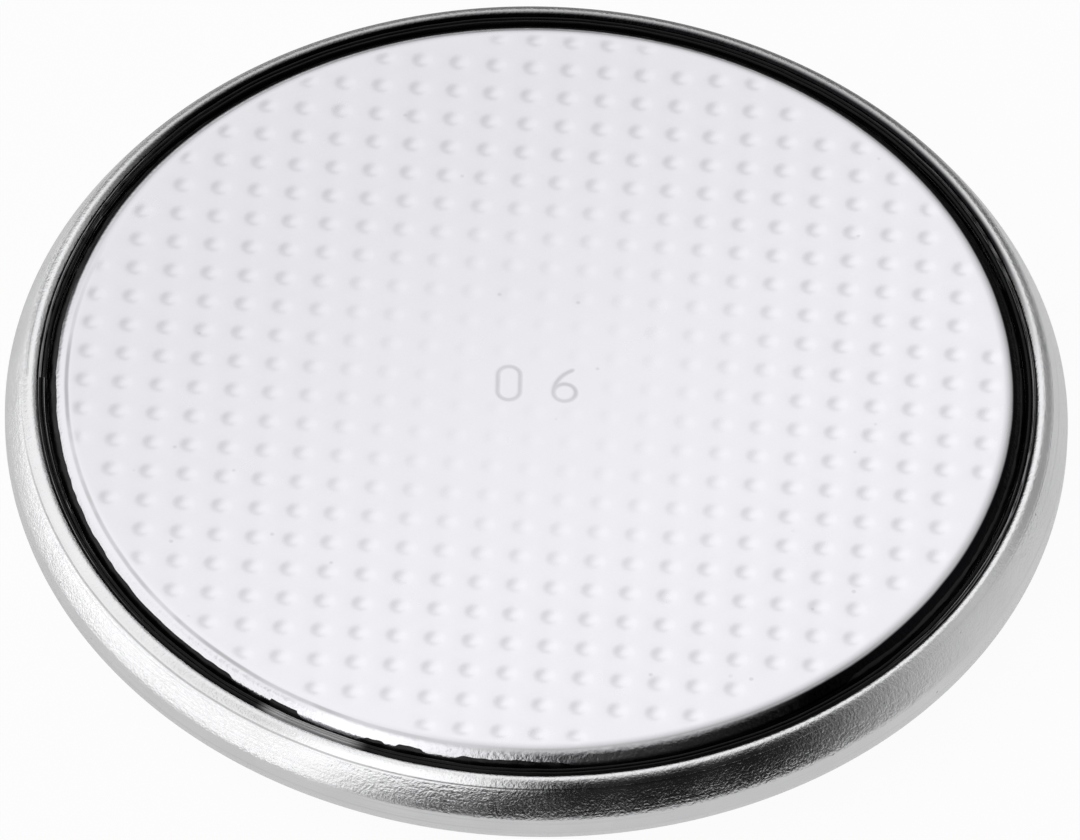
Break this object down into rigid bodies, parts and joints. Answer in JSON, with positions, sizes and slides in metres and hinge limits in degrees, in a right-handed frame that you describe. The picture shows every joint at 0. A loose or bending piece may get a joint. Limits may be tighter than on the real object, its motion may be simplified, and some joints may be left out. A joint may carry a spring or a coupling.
{
  "type": "lithium coin cell",
  "caption": "Thin round lithium coin cell: crimped steel can with a dimpled flat negative cap, a black sealing ring between them and the cell stack inside.",
  "frame": {"origin": "centre of the can's flat base, on the surface the cell stands on", "axes": "+Z along the cell's axis, from the positive can's base towards the negative cap; +X and +Y across it, with the rows of dimples 3.3 degrees off X"},
  "size_m": [0.02, 0.02, 0.0016],
  "materials": {
    "can_steel": "pressed stainless steel, spun satin",
    "cap_steel": "pressed stainless steel, fine matt, rolled dimples",
    "gasket_plastic": "moulded black polypropylene",
    "sealant_film": "black bitumen film",
    "gauze_steel": "perforated stainless steel",
    "pellet_black": "pressed powder, matt",
    "separator_felt": "white non-woven polypropylene",
    "lithium_metal": "soft rolled lithium foil"
  },
  "bodies": {
    "root": {"positive_can": "can_steel", "negative_cap": "cap_steel", "gasket": "gasket_plastic", "sealant": "sealant_film", "cathode_gauze": "gauze_steel", "cathode_pellet": "pellet_black", "separator": "separator_felt", "lithium_anode": "lithium_metal"}
  },
  "joints": []
}
